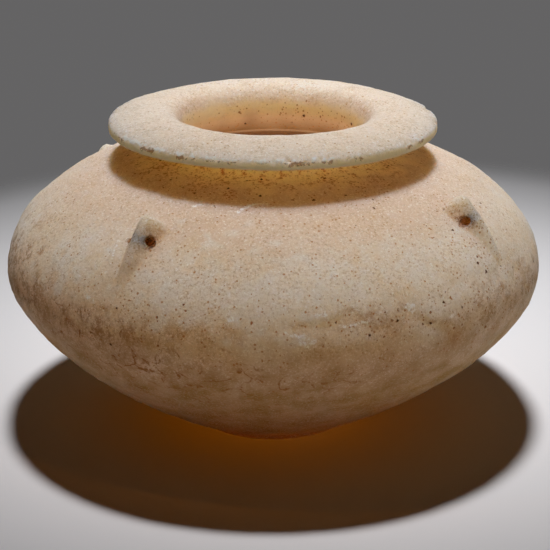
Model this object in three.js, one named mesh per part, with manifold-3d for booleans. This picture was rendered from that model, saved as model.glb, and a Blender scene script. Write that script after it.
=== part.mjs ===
// A squat alabaster bowl: a lens shaped body on a small flat foot, a short sunk neck, a wide flat
// rim and four pierced string lugs on the shoulder, all carved from one block of stone.
// Millimetres, +Z up, origin at the middle of the foot, the viewer's side facing -Y.
import * as THREE from "three";
import { mergeVertices } from "three/addons/utils/BufferGeometryUtils.js";
import Module from "manifold-3d";

// Body, outside
const BELLY_RADIUS = 120;
const BELLY_HEIGHT = 75.3;
const FOOT_RADIUS = 37.2;
const FOOT_STEP_OUT = 3.3;
const FOOT_STEP_UP = 3.4;
const FLARE_SLOPE = 25.4; // degrees above level where the wall leaves the foot
const FLARE_PULL = 29.2;
const BELLY_PULL_DOWN = 24.4;
const BELLY_PULL_UP = 16.5;
const SHOULDER_RADIUS = 67;
const SHOULDER_HEIGHT = 123.3;
const SHOULDER_SLOPE = 17.8; // degrees above level where the shoulder meets the neck
const SHOULDER_PULL = 40;

// Neck and rim
const NECK_RADIUS = 49.5;
const NECK_HEIGHT = 129.8;
const NECK_PULL = 2.4;
const RIM_RADIUS = 72.7;
const RIM_CREST_HEIGHT = 144.6;
const RIM_CREST_RADIUS = 51.5;
const RIM_EDGE_DROP = 4.6; // from the crest down to the upper arris of the edge
const RIM_EDGE_THICKNESS = 4.5;
const RIM_EDGE_ROUND = 1.3;
const RIM_UNDERSIDE_RISE = 3.2; // how far the underside climbs from the neck to the edge
const MOUTH_RADIUS = 40.4;
const MOUTH_ROLL_DEPTH = 9.5; // from the crest down to the straight wall of the mouth

// Hollow
const WALL = 7;
const BASE_THICKNESS = 11;

// String lugs: a wedge that stands proudest near its top and dies into the belly at its tip
const FIRST_LUG_AZIMUTH = -32; // degrees from the front, positive to the right
const LUG_STEP = 88;
const LUG_TIP_UP_SHOULDER = 19.5; // along the wall from the belly line to the tip
const LUG_LENGTH = 33;
const LUG_HEIGHT = 9;
const LUG_HALF_WIDTH = 7.8;
const LUG_TIP_SHARE = 0.35; // width at the tip as a share of the width at the top
const LUG_CROWN_POWER = 2;
const LUG_END_ROUND = 4.2;
const LUG_ROOT = 0.8; // how far the lug's foot line is let into the wall
const LUG_BEDDING = 3.5;
const STRING_HOLE = 3.6;
const STRING_HOLE_PLACE = 0.66; // share of the lug's length, from the tip
const STRING_HOLE_ABOVE_WALL = 2.1;
const WHOLE_LUGS = 3;

// The fourth lug has lost its upper end, and the string hole with it.
const WORN_LUG_AZIMUTH = -126;
const WORN_LUG_LENGTH = 26;
const WORN_LUG_HEIGHT = 4.6;

const ROUND_SEGMENTS = 60;
const STONE_COLOUR = 0xd9bd9c;

const wasm = await Module();
wasm.setup();

function point(radius, height) {
  return new THREE.Vector2(radius, height);
}

// A point at a distance and an angle above level from another; a negative distance goes inwards.
function reach(from, distance, degrees) {
  const angle = THREE.MathUtils.degToRad(degrees);
  return point(from.x + distance * Math.cos(angle), from.y + distance * Math.sin(angle));
}

// The outer wall: one curve from the foot to the belly, one from the belly to the neck.
const footTop = point(FOOT_RADIUS + FOOT_STEP_OUT, FOOT_STEP_UP);
const belly = point(BELLY_RADIUS, BELLY_HEIGHT);
const shoulderTop = point(SHOULDER_RADIUS, SHOULDER_HEIGHT);
const lowerWall = new THREE.CubicBezierCurve(
  footTop,
  reach(footTop, FLARE_PULL, FLARE_SLOPE),
  point(BELLY_RADIUS, BELLY_HEIGHT - BELLY_PULL_DOWN),
  belly,
);
const upperWall = new THREE.CubicBezierCurve(
  belly,
  point(BELLY_RADIUS, BELLY_HEIGHT + BELLY_PULL_UP),
  reach(shoulderTop, SHOULDER_PULL, -SHOULDER_SLOPE),
  shoulderTop,
);

// Outward direction of a curve that is drawn upwards on the outside.
function outwards(curve, share) {
  const along = curve.getTangentAt(share);
  return point(along.y, -along.x);
}

function insideOf(curve, share) {
  return curve.getPointAt(share).addScaledVector(outwards(curve, share), -WALL);
}

function rimSection() {
  const edgeTop = RIM_CREST_HEIGHT - RIM_EDGE_DROP;
  const edgeBottom = edgeTop - RIM_EDGE_THICKNESS;
  const neck = point(NECK_RADIUS, NECK_HEIGHT);
  const underEdge = point(RIM_RADIUS - RIM_EDGE_ROUND, edgeBottom);
  const grooveBelow = new THREE.CubicBezierCurve(
    shoulderTop,
    reach(shoulderTop, -(SHOULDER_RADIUS - NECK_RADIUS) / 2, -SHOULDER_SLOPE),
    point(NECK_RADIUS, NECK_HEIGHT - NECK_PULL),
    neck,
  );
  const grooveAbove = new THREE.CubicBezierCurve(
    neck,
    point(NECK_RADIUS, NECK_HEIGHT + NECK_PULL),
    point(NECK_RADIUS + NECK_PULL, edgeBottom - RIM_UNDERSIDE_RISE / 2),
    underEdge,
  );
  const lowerArris = new THREE.QuadraticBezierCurve(
    underEdge,
    point(RIM_RADIUS, edgeBottom),
    point(RIM_RADIUS, edgeBottom + RIM_EDGE_ROUND),
  );
  const upperArris = new THREE.QuadraticBezierCurve(
    point(RIM_RADIUS, edgeTop - RIM_EDGE_ROUND),
    point(RIM_RADIUS, edgeTop),
    point(RIM_RADIUS - RIM_EDGE_ROUND, edgeTop + RIM_EDGE_ROUND / 4),
  );
  const crest = point(RIM_CREST_RADIUS, RIM_CREST_HEIGHT);
  const top = new THREE.QuadraticBezierCurve(
    upperArris.v2,
    point((RIM_RADIUS + RIM_CREST_RADIUS) / 2, RIM_CREST_HEIGHT),
    crest,
  );
  const wallTop = point(MOUTH_RADIUS, RIM_CREST_HEIGHT - MOUTH_ROLL_DEPTH);
  const roll = new THREE.CubicBezierCurve(
    crest,
    point((RIM_CREST_RADIUS + MOUTH_RADIUS) / 2, RIM_CREST_HEIGHT),
    point(MOUTH_RADIUS, RIM_CREST_HEIGHT - MOUTH_ROLL_DEPTH / 3),
    wallTop,
  );
  const innerShoulder = insideOf(upperWall, 1);
  const underNeck = new THREE.CubicBezierCurve(
    point(MOUTH_RADIUS, NECK_HEIGHT),
    point(MOUTH_RADIUS, innerShoulder.y + WALL / 2),
    reach(innerShoulder, -(innerShoulder.x - MOUTH_RADIUS) / 2, -SHOULDER_SLOPE),
    innerShoulder,
  );
  return [
    ...grooveBelow.getPoints(3).slice(1),
    ...grooveAbove.getPoints(4).slice(1),
    ...lowerArris.getPoints(2).slice(1),
    ...upperArris.getPoints(2),
    ...top.getPoints(3).slice(1),
    ...roll.getPoints(5).slice(1),
    ...underNeck.getPoints(4),
  ];
}

// The whole section of the bowl, from the middle of the underside round to the middle of the floor.
function section() {
  const lowerSteps = 9;
  const upperSteps = 8;
  const outside = [
    point(0, 0),
    point(FOOT_RADIUS, 0),
    ...lowerWall.getSpacedPoints(lowerSteps),
    ...upperWall.getSpacedPoints(upperSteps).slice(1),
  ];
  const inside = [];
  for (let i = upperSteps - 1; i >= 0; i -= 1) {
    inside.push(insideOf(upperWall, i / upperSteps));
  }
  for (let i = lowerSteps - 1; i > 0; i -= 1) {
    const spot = insideOf(lowerWall, i / lowerSteps);
    if (spot.y > BASE_THICKNESS) inside.push(spot);
  }
  inside.push(point(FOOT_RADIUS, BASE_THICKNESS), point(0, BASE_THICKNESS));
  return [...outside, ...rimSection(), ...inside];
}

// A closed solid from a geometry: shared corners merged, and the slivers at a pole left out.
function solidFrom(geometry) {
  geometry.deleteAttribute("normal");
  geometry.deleteAttribute("uv");
  const merged = mergeVertices(geometry);
  const corners = merged.index.array;
  const kept = [];
  for (let i = 0; i < corners.length; i += 3) {
    const [a, b, c] = corners.slice(i, i + 3);
    if (a !== b && b !== c && c !== a) kept.push(a, b, c);
  }
  return new wasm.Manifold(
    new wasm.Mesh({
      numProp: 3,
      vertProperties: merged.attributes.position.array,
      triVerts: new Uint32Array(kept),
    }),
  );
}

function geometryFrom(solid) {
  const mesh = solid.getMesh();
  const geometry = new THREE.BufferGeometry();
  geometry.setAttribute("position", new THREE.BufferAttribute(mesh.vertProperties, 3));
  geometry.setIndex(new THREE.BufferAttribute(mesh.triVerts, 1));
  geometry.computeVertexNormals();
  return geometry;
}

// A place on the shoulder: along the wall from the belly, across from the lug's middle plane, and
// out from the wall.
function onShoulder(along, across, out, azimuth) {
  const share = along / upperWall.getLength();
  const wall = upperWall.getPointAt(share);
  const face = wall.clone().addScaledVector(outwards(upperWall, share), out);
  const angle = THREE.MathUtils.degToRad(azimuth) + across / wall.x;
  return new THREE.Vector3(face.x * Math.sin(angle), -face.x * Math.cos(angle), face.y);
}

// A lug is a block bent on to the shoulder. Its top face is raised to a rounded ridge that climbs
// from the tip and ends in a blunt round end, and its lower face lies inside the wall.
function lug(azimuth, length, height) {
  const acrossSteps = 8;
  const alongSteps = 10;
  const block = new THREE.BoxGeometry(2, 1, 1, acrossSteps, alongSteps, 1);
  const place = block.attributes.position;
  for (let i = 0; i < place.count; i += 1) {
    const side = place.getX(i);
    const climb = place.getY(i) + 0.5;
    const width = LUG_HALF_WIDTH * (LUG_TIP_SHARE + (1 - LUG_TIP_SHARE) * climb);
    const toEnd = Math.min(1, ((1 - climb) * length) / LUG_END_ROUND);
    const end = Math.sqrt(1 - (1 - toEnd) ** 2);
    const crown = 1 - Math.abs(side) ** LUG_CROWN_POWER;
    const raised = (height * climb + LUG_ROOT) * end * crown - LUG_ROOT;
    const out = place.getZ(i) > 0 ? raised : -LUG_BEDDING;
    const along = LUG_TIP_UP_SHOULDER + climb * length;
    const spot = onShoulder(along, side * width, out, azimuth);
    place.setXYZ(i, spot.x, spot.y, spot.z);
  }
  return solidFrom(block);
}

// The hole for the string runs level through the lug, just clear of the wall.
function stringHole(azimuth) {
  const along = LUG_TIP_UP_SHOULDER + STRING_HOLE_PLACE * LUG_LENGTH;
  const middle = onShoulder(along, 0, STRING_HOLE_ABOVE_WALL, azimuth);
  const drill = new THREE.CylinderGeometry(
    STRING_HOLE / 2,
    STRING_HOLE / 2,
    4 * LUG_HALF_WIDTH,
    12,
  );
  drill.rotateZ(Math.PI / 2);
  drill.rotateZ(THREE.MathUtils.degToRad(azimuth));
  drill.translate(middle.x, middle.y, middle.z);
  return solidFrom(drill);
}

function carvedBowl() {
  const turned = new THREE.LatheGeometry(section(), ROUND_SEGMENTS);
  turned.rotateX(Math.PI / 2);
  let stone = solidFrom(turned);
  for (let i = 0; i < WHOLE_LUGS; i += 1) {
    const azimuth = FIRST_LUG_AZIMUTH + i * LUG_STEP;
    stone = stone.add(lug(azimuth, LUG_LENGTH, LUG_HEIGHT));
    stone = stone.subtract(stringHole(azimuth));
  }
  stone = stone.add(lug(WORN_LUG_AZIMUTH, WORN_LUG_LENGTH, WORN_LUG_HEIGHT));
  return geometryFrom(stone);
}

const alabaster = new THREE.MeshStandardMaterial({
  color: STONE_COLOUR,
  roughness: 0.6,
  metalness: 0,
});

const bowl = new THREE.Mesh(carvedBowl(), alabaster);
bowl.name = "alabaster_bowl";

const object = new THREE.Group();
object.add(bowl);

export default object;
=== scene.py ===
# %% [markdown]
# # An alabaster bowl
# A squat stone vessel, carved from one block: a lens shaped body on a small foot, a sunk neck, a wide
# flat rim, and string lugs on the shoulder. The stone lets light through, so thin or lit places glow
# orange, and long burial has left pits, chips, specks of earth and brown root marks on it.
#
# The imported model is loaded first. It stays as it is, as the frame: every size here is in its axes,
# with +Z up, the side that is looked at facing -Y, and the middle of the foot at the origin.

# %% Load the frame
import math

import bmesh
import bpy
import numpy as np
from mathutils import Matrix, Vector


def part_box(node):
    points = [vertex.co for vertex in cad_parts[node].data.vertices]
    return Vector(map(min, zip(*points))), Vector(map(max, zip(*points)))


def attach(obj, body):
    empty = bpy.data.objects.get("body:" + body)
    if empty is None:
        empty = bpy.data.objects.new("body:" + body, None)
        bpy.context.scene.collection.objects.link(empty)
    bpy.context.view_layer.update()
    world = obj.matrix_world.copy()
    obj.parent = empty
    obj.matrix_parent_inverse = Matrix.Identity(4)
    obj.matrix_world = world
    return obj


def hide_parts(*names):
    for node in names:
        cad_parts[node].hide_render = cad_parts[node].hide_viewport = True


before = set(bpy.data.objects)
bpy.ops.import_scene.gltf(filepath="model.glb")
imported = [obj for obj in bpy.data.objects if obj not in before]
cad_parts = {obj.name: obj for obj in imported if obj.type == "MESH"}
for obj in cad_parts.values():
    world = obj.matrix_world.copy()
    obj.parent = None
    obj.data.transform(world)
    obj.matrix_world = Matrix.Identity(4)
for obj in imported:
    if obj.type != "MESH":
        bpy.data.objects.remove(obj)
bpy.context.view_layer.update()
NODE = "alabaster_bowl"
MM = 0.001
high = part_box(NODE)[1]
BELLY_RADIUS = high[0] / MM
RIM_CREST_HEIGHT = high[2] / MM
print("belly radius", round(BELLY_RADIUS, 2), "mm, height", round(RIM_CREST_HEIGHT, 2), "mm")

# %% [markdown]
# ## The section
# Half of the bowl, cut from top to bottom, is one closed line: out along the underside, up the foot
# and the wall, in under the rim, over it, and down the inside to the floor. A lathe would need this
# line as a template, so it is drawn from a few real sizes with smooth curves between control points,
# the same ones as the solid has. It could be traced point by point, but then no size could be
# changed afterwards.
#
# A point of a curve is found by mixing: neighbouring control points are mixed by the share gone
# along the curve, then the mixed points are mixed again, until one is left.

# %% Sizes of the body, in millimetres
BELLY_HEIGHT = 75.3
FOOT_RADIUS = 37.2
FOOT_STEP_OUT = 3.3
FOOT_STEP_UP = 3.4
FLARE_SLOPE = 25.4
FLARE_PULL = 29.2
BELLY_PULL_DOWN = 24.4
BELLY_PULL_UP = 16.5
SHOULDER_RADIUS = 67.0
SHOULDER_HEIGHT = 123.3
SHOULDER_SLOPE = 17.8
SHOULDER_PULL = 40.0
WALL = 7.0
BASE_THICKNESS = 11.0
print("the shoulder ends", SHOULDER_RADIUS, "mm out and", SHOULDER_HEIGHT, "mm up")

# %% Sizes of the neck and the rim
NECK_RADIUS = 49.5
NECK_HEIGHT = 129.8
NECK_PULL = 2.4
RIM_RADIUS = 72.7
RIM_CREST_RADIUS = 51.5
RIM_EDGE_DROP = 4.6
RIM_EDGE_THICKNESS = 4.5
RIM_EDGE_ROUND = 1.3
RIM_UNDERSIDE_RISE = 3.2
MOUTH_RADIUS = 40.4
MOUTH_ROLL_DEPTH = 9.5
print("the rim is", 2 * RIM_RADIUS, "mm across and its mouth", 2 * MOUTH_RADIUS, "mm")


# %% Curves and even steps
def mixed(points, shares):
    """Points on a smooth curve: neighbours are mixed by the share along it until one is left."""
    line = [np.outer(np.ones(len(shares)), point) for point in points]
    share = shares[:, None]
    while len(line) > 1:
        line = [(1 - share) * a + share * b for a, b in zip(line, line[1:])]
    return line[0]


def reach(start, distance, degrees):
    """The point at a distance from another, at an angle above level; less than none goes inwards."""
    angle = math.radians(degrees)
    return (start[0] + distance * math.cos(angle), start[1] + distance * math.sin(angle))


def evenly(points, count, crowd=None):
    """count points after the first on a curve, at even distances, or closer together where crowd is
    above one: steps are shares of the running sum of length times crowd."""
    fine = mixed(points, np.linspace(0, 1, 2001))
    length = np.hypot(*np.diff(fine, axis=0).T)
    weight = length if crowd is None else length * crowd(np.cumsum(length))
    gone = np.concatenate([[0], np.cumsum(weight)])
    wanted = np.linspace(0, gone[-1], count + 1)[1:]
    return np.stack([np.interp(wanted, gone, fine[:, 0]), np.interp(wanted, gone, fine[:, 1])], 1)


# %% The wall, outside and inside
foot_top = (FOOT_RADIUS + FOOT_STEP_OUT, FOOT_STEP_UP)
belly = (BELLY_RADIUS, BELLY_HEIGHT)
shoulder_top = (SHOULDER_RADIUS, SHOULDER_HEIGHT)
LOWER_WALL = [foot_top, reach(foot_top, FLARE_PULL, FLARE_SLOPE),
              (BELLY_RADIUS, BELLY_HEIGHT - BELLY_PULL_DOWN), belly]
UPPER_WALL = [belly, (BELLY_RADIUS, BELLY_HEIGHT + BELLY_PULL_UP),
              reach(shoulder_top, SHOULDER_PULL, -SHOULDER_SLOPE), shoulder_top]


def inside_of(points, count):
    """The inner face of a wall, walked downwards: each point goes one wall thickness inwards, square
    to the curve."""
    outer = np.concatenate([[points[0]], evenly(points, count)])
    along = np.gradient(outer, axis=0)
    along /= np.hypot(*along.T)[:, None]
    return (outer - WALL * np.stack([along[:, 1], -along[:, 0]], 1))[::-1]


inner_shoulder = inside_of(UPPER_WALL, 200)[0]
print("inside, the shoulder ends", inner_shoulder[1].round(1), "mm up")

# %% The neck and the rim
edge_top = RIM_CREST_HEIGHT - RIM_EDGE_DROP
edge_bottom = edge_top - RIM_EDGE_THICKNESS
neck = (NECK_RADIUS, NECK_HEIGHT)
under_edge = (RIM_RADIUS - RIM_EDGE_ROUND, edge_bottom)
upper_edge = (RIM_RADIUS - RIM_EDGE_ROUND, edge_top + RIM_EDGE_ROUND / 4)
crest = (RIM_CREST_RADIUS, RIM_CREST_HEIGHT)
mouth_wall_top = (MOUTH_RADIUS, RIM_CREST_HEIGHT - MOUTH_ROLL_DEPTH)
GROOVE_BELOW = [shoulder_top, reach(shoulder_top, (NECK_RADIUS - SHOULDER_RADIUS) / 2, -SHOULDER_SLOPE),
                (NECK_RADIUS, NECK_HEIGHT - NECK_PULL), neck]
GROOVE_ABOVE = [neck, (NECK_RADIUS, NECK_HEIGHT + NECK_PULL),
                (NECK_RADIUS + NECK_PULL, edge_bottom - RIM_UNDERSIDE_RISE / 2), under_edge]
LOWER_ARRIS = [under_edge, (RIM_RADIUS, edge_bottom), (RIM_RADIUS, edge_bottom + RIM_EDGE_ROUND)]
EDGE = [LOWER_ARRIS[-1], (RIM_RADIUS, edge_top - RIM_EDGE_ROUND)]
UPPER_ARRIS = [EDGE[-1], (RIM_RADIUS, edge_top), upper_edge]
TOP = [upper_edge, ((RIM_RADIUS + RIM_CREST_RADIUS) / 2, RIM_CREST_HEIGHT), crest]
ROLL = [crest, ((RIM_CREST_RADIUS + MOUTH_RADIUS) / 2, RIM_CREST_HEIGHT),
        (MOUTH_RADIUS, RIM_CREST_HEIGHT - MOUTH_ROLL_DEPTH / 3), mouth_wall_top]
UNDER_NECK = [(MOUTH_RADIUS, NECK_HEIGHT), (MOUTH_RADIUS, inner_shoulder[1] + WALL / 2),
              reach(inner_shoulder, (MOUTH_RADIUS - inner_shoulder[0]) / 2, -SHOULDER_SLOPE),
              inner_shoulder]
print("neck", NECK_RADIUS, "mm, edge of the rim from", round(edge_bottom, 1), "to", round(edge_top, 1))

# %% [markdown]
# ## The line in rings
# The surface is a grid: rings one above another, and the same number of columns in each. Rings sit
# closer where the stone has more to show, which is at the tops of the lugs and on the rim's edge,
# and wide apart inside. Each stretch keeps a name, because chips, lugs and earth ask where they are.

# %% Rings and columns
LUG_TOP_UP_SHOULDER = 52.5


def near_lug_top(gone):
    """One and a half times closer round the distance at which the lugs end."""
    return 1 + 1.5 * np.exp(-((gone - LUG_TOP_UP_SHOULDER + 2) / 3.5) ** 2)


inner_upper = inside_of(UPPER_WALL, 6)[1:]
inner_lower = inside_of(LOWER_WALL, 9)[1:]
inner_lower = inner_lower[inner_lower[:, 1] > BASE_THICKNESS + 1]
STRETCHES = {
    "underside": evenly([(0, 0), (FOOT_RADIUS, 0)], 4),
    "foot": evenly([(FOOT_RADIUS, 0), foot_top], 3),
    "lower": evenly(LOWER_WALL, 42),
    "upper": evenly(UPPER_WALL, 52, near_lug_top),
    "groove": np.concatenate([evenly(GROOVE_BELOW, 6), evenly(GROOVE_ABOVE, 7)]),
    "edge": np.concatenate([evenly(LOWER_ARRIS, 3), evenly(EDGE, 2), evenly(UPPER_ARRIS, 3)]),
    "top": evenly(TOP, 14),
    "roll": evenly(ROLL, 9),
    "mouth": np.concatenate([evenly([mouth_wall_top, UNDER_NECK[0]], 2), evenly(UNDER_NECK, 4)]),
    "inside": np.concatenate([inner_upper, inner_lower, [(FOOT_RADIUS, BASE_THICKNESS)]]),
    "floor": evenly([(FOOT_RADIUS, BASE_THICKNESS), (0, BASE_THICKNESS)], 2)[:-1],
}
line = np.concatenate(list(STRETCHES.values()))
stretch_of = np.concatenate([[name] * len(part) for name, part in STRETCHES.items()])
step = np.hypot(*np.diff(np.concatenate([[[0, 0]], line]), axis=0).T)
up_line = np.cumsum(step)
closed = np.concatenate([[[0, 0]], line, [[0, BASE_THICKNESS]]])
along = closed[2:] - closed[:-2]
along /= np.hypot(*along.T)[:, None]
outward = np.stack([along[:, 1], -along[:, 0]], 1)
belly_gone = up_line[stretch_of == "lower"][-1]
print(len(line), "rings; the line is", round(up_line[-1]), "mm long")

# %% [markdown]
# Columns run round the bowl. Angles are counted from the front, and grow to the right. The lugs
# stand 88 degrees apart, three of them whole, and a worn one between, and columns crowd there too.

# %% Columns
COLUMNS = 570
FIRST_LUG_AZIMUTH = -32.0
LUG_STEP = 88.0
WHOLE_LUGS = [FIRST_LUG_AZIMUTH + LUG_STEP * i for i in range(3)]
WORN_LUG = -126.0


def turned(angles, middle):
    """How far angles are from a middle one, the short way round, in degrees."""
    return (angles - middle + 180) % 360 - 180


fine_angles = np.linspace(-180, 180, 7201)
crowding = 1 + 0.5 * np.exp(-(fine_angles / 75) ** 2)
for lug_angle in WHOLE_LUGS + [WORN_LUG]:
    crowding += 1.3 * np.exp(-(turned(fine_angles, lug_angle) / 6) ** 2)
gone_round = np.concatenate([[0], np.cumsum((crowding[1:] + crowding[:-1]) / 2)])
azimuth = np.interp(np.linspace(0, gone_round[-1], COLUMNS + 1)[:-1], gone_round, fine_angles)
print(COLUMNS, "columns, about", 2 * COLUMNS * len(line), "triangles")

# %% [markdown]
# ## Noise for hand work and weather
# A carved and buried surface is never smooth. Its waves are a sum of many cosines, each running in
# its own direction through space, with wavelengths near one size. Such a field has no seam, is the
# same on each run, and can be asked for at any point. A texture image would do, but it would have to
# be wrapped round the bowl and would show a seam.

# %% Fields
def field(points, wavelength, seed, waves=40):
    """Sum of cosines of (direction times point over wavelength, plus a phase), about one high."""
    rng = np.random.default_rng(seed)
    direction = rng.normal(size=(3, waves))
    direction /= np.linalg.norm(direction, axis=0)
    pace = 2 * math.pi / (wavelength * rng.uniform(0.7, 1.5, waves))
    phase = rng.uniform(0, 2 * math.pi, waves)
    total = np.zeros(len(points))
    for first in range(0, waves, 8):
        part = slice(first, first + 8)
        total += np.cos(points @ (direction[:, part] * pace[part]) + phase[part]).sum(1)
    return total / math.sqrt(waves / 2)


def smooth(value, start, end):
    """Rises from 0 at start to 1 at end along an S, by t times t times (3 minus 2t)."""
    share = np.clip((value - start) / (end - start), 0, 1)
    return share * share * (3 - 2 * share)


radius_grid = np.repeat(line[:, 0], COLUMNS)
height_grid = np.repeat(line[:, 1], COLUMNS)
angle_grid = np.tile(azimuth, len(line))
gone_grid = np.repeat(up_line, COLUMNS)
place_grid = np.repeat(stretch_of, COLUMNS)
sine = np.sin(np.radians(angle_grid))
cosine = -np.cos(np.radians(angle_grid))
points = np.stack([radius_grid * sine, radius_grid * cosine, height_grid], 1)
normal_r = np.repeat(outward[:, 0], COLUMNS)
normals = np.stack([normal_r * sine, normal_r * cosine, np.repeat(outward[:, 1], COLUMNS)], 1)
print(len(points), "points on the grid")

# %% [markdown]
# ## The string lugs
# A lug is a wedge left standing when the shoulder was dressed: it is widest and proudest near its
# blunt upper end, and dies into the belly at its tip. It isn't a separate piece, so it is made as a
# height above the wall, and each grid point moves out by it. That keeps wall and lug one skin.

# %% Lugs
LUG_TIP_UP_SHOULDER = 19.5
LUG_LENGTH = 33.0
LUG_HEIGHT = 9.0
LUG_HALF_WIDTH = 7.8
LUG_SKIRT = 1.155
LUG_TIP_SHARE = 0.35
LUG_CROWN_POWER = 1.5
LUG_END_ROUND = 5.6
LUG_ROOT = 0.8
WORN_LUG_LENGTH = 26.0
WORN_LUG_HEIGHT = 4.6

on_upper = (place_grid == "upper") | (place_grid == "lower")
up_shoulder = gone_grid - belly_gone


def lug_rise(lug_angle, length, height):
    """Height above the wall: (height times climb, plus the root) times the round of the upper end,
    times the crown across it, less the root. The crown is 1 minus the square of the share across,
    to a power above one over a slightly wider foot, which leaves a soft hollow beside the lug."""
    climb = (up_shoulder - LUG_TIP_UP_SHOULDER) / length
    across = np.radians(turned(angle_grid, lug_angle)) * radius_grid
    wedge = LUG_TIP_SHARE + (1 - LUG_TIP_SHARE) * np.clip(climb, 0, 1)
    share = across / (LUG_SKIRT * LUG_HALF_WIDTH * wedge)
    to_end = np.clip((1 - climb) * length / LUG_END_ROUND, 0, 1)
    rounding = np.sqrt(1 - (1 - to_end) ** 2)
    crown = np.clip(1 - share ** 2, 0, 1) ** LUG_CROWN_POWER
    rise = (height * climb + LUG_ROOT) * rounding * crown - LUG_ROOT
    valid = on_upper & (climb > 0) & (climb < 1) & (np.abs(share) < 1)
    return np.where(valid, np.maximum(rise, 0), 0)


lugs = np.zeros(len(points))
for lug_angle in WHOLE_LUGS:
    lugs = np.maximum(lugs, lug_rise(lug_angle, LUG_LENGTH, LUG_HEIGHT))
worn = lug_rise(WORN_LUG, WORN_LUG_LENGTH, WORN_LUG_HEIGHT)
worn *= 1 - 0.25 * smooth(field(points, 6, 31), 0, 1.5)
lugs = np.maximum(lugs, worn)
print("lugs stand up to", round(lugs.max(), 2), "mm off the wall")

# %% [markdown]
# ## Hand work, wear and pits
# The wall waves by a few tenths of a millimetre, as a surface rubbed down by hand does. Below the
# shoulder a thin skin of the stone has flaked off in a shallow hollow with a scalloped upper edge.
# Pits and bruises are dents with soft edges, worked out for all points at once. Nothing may swell
# past the belly, the crest or the foot, so the waves are held down there.

# %% Waves
WAVES = [(0.30, 60, 1), (0.11, 21, 2), (0.07, 9, 3), (0.05, 4.5, 4)]
WAVES_ON_EDGES = 0.35
WAVES_ON_RIM = 0.6

outside = np.isin(place_grid, ["foot", "lower", "upper", "groove", "edge", "top", "roll"])
waves = sum(height * field(points, wavelength, seed) for height, wavelength, seed in WAVES)
waves *= np.where(np.isin(place_grid, ["edge", "groove", "foot"]), WAVES_ON_EDGES, 1.0)
waves *= np.where(np.isin(place_grid, ["top", "roll"]), WAVES_ON_RIM, 1.0)
waves = np.where(outside, waves, 0)
print("the waves are up to", round(waves.max(), 2), "mm high")

# %% The flaked hollow
FLAKE_MIDDLE = 20.0
FLAKE_HALF_WIDTH = 19.0
FLAKE_UP_SHOULDER = 13.0
FLAKE_DROP = 15.0
FLAKE_DEPTH = 0.85


def under_flake_top(angles, up, places):
    """How far below the scalloped upper edge of the hollow, and how far to its side in shares: the
    edge is a leaning arch of the side share, waved by a field."""
    side = turned(angles, FLAKE_MIDDLE) / FLAKE_HALF_WIDTH
    top = FLAKE_UP_SHOULDER - 6 * side ** 2 - 5 * side + 1.8 * field(places, 14, 5)
    return top - up, side


under_top, flake_side = under_flake_top(angle_grid, up_shoulder, points)
flake = smooth(under_top, 0, 1.6) * (1 - smooth(under_top, 3, FLAKE_DROP))
flake *= (1 - smooth(np.abs(flake_side), 0.7, 1.1)) * on_upper
print("the flaked hollow covers", int((flake > 0.5).sum()), "points")


# %% Pits and bruises
def dents(seed, count, angles, heights, radii, depth):
    """Sum over dents of depth times e to the minus square of distance over radius, with places, radii
    and depths drawn at random within their ranges."""
    rng = np.random.default_rng(seed)
    ring_height = line[(stretch_of == "lower") | (stretch_of == "upper")]
    height = rng.uniform(*heights, count)
    angle = np.radians(rng.uniform(*angles, count))
    radius = np.interp(height, ring_height[:, 1], ring_height[:, 0])
    middle = np.stack([radius * np.sin(angle), -radius * np.cos(angle), height], 1)
    size = rng.uniform(*radii, count)
    deep = depth * size / radii[1] * rng.uniform(0.6, 1, count)
    total = np.zeros(len(points))
    for spot, reach_of, how_deep in zip(middle, size, deep):
        near = np.abs(points - spot).max(1) < 2.5 * reach_of
        distance = np.linalg.norm(points[near] - spot, axis=1) / reach_of
        total[near] += how_deep * np.exp(-distance ** 2)
    return total


PITS = [
    (11, 420, (-180, 180), (20, 122), (1.2, 2.6), 0.35),
    (12, 160, (30, 68), (66, 95), (1.1, 2.4), 0.45),
    (13, 120, (-40, 4), (72, 92), (1.1, 2.2), 0.35),
    (14, 70, (78, 104), (104, 123), (1.0, 2.2), 0.4),
]
pits = np.where(on_upper, sum(dents(*group) for group in PITS), 0)
print("deepest pit", round(pits.max(), 2), "mm")

# %% [markdown]
# ## The chipped rim
# Knocks have taken small flakes off the upper corner of the rim's edge, mostly along the front. A
# chip is a bite into the stone: deepest at the corner, with a ragged outline. Each has a place round
# the rim, a length and a depth, listed for those that show, and drawn at random for the back.
# Between the chips a fine noise nibbles at the corner, most along the stretches listed as battered:
# each has its middle and half width in degrees, and an amount.

# %% Chips
FRONT_CHIPS = [
    (-63.0, 2.6, 0.7), (-56.5, 2.0, 0.6), (-50.0, 3.0, 0.8), (-46.5, 2.4, 0.7), (-41.0, 2.2, 0.7),
    (-36.5, 2.2, 0.6), (-29.0, 2.8, 0.9), (-25.5, 2.0, 0.7), (-18.5, 2.6, 0.6), (-10.5, 2.0, 0.6),
    (0.3, 2.1, 1.2), (5.2, 3.2, 1.3), (11.8, 2.8, 1.0), (15.4, 1.8, 0.9), (18.2, 1.8, 0.9),
    (24.3, 3.0, 0.8), (31.0, 1.6, 0.4), (50.5, 2.2, 1.0), (54.6, 3.2, 1.1), (60.0, 3.4, 0.8),
    (84.0, 5.0, 1.3), (103.0, 6.0, 1.1), (120.0, 4.0, 0.9),
]
CHIP_HEIGHT = 1.5
BACK_CHIPS = 20
BACK_STRETCH = (128, 288)
BATTERED = [
    (-45, 20, 1.0), (-15, 9, 0.6), (8, 13, 1.0), (29, 5, 0.4), (55.5, 6.5, 1.0), (100, 20, 0.8),
    (200, 60, 0.5),
]
NIBBLE_REACH = 1.2

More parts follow.
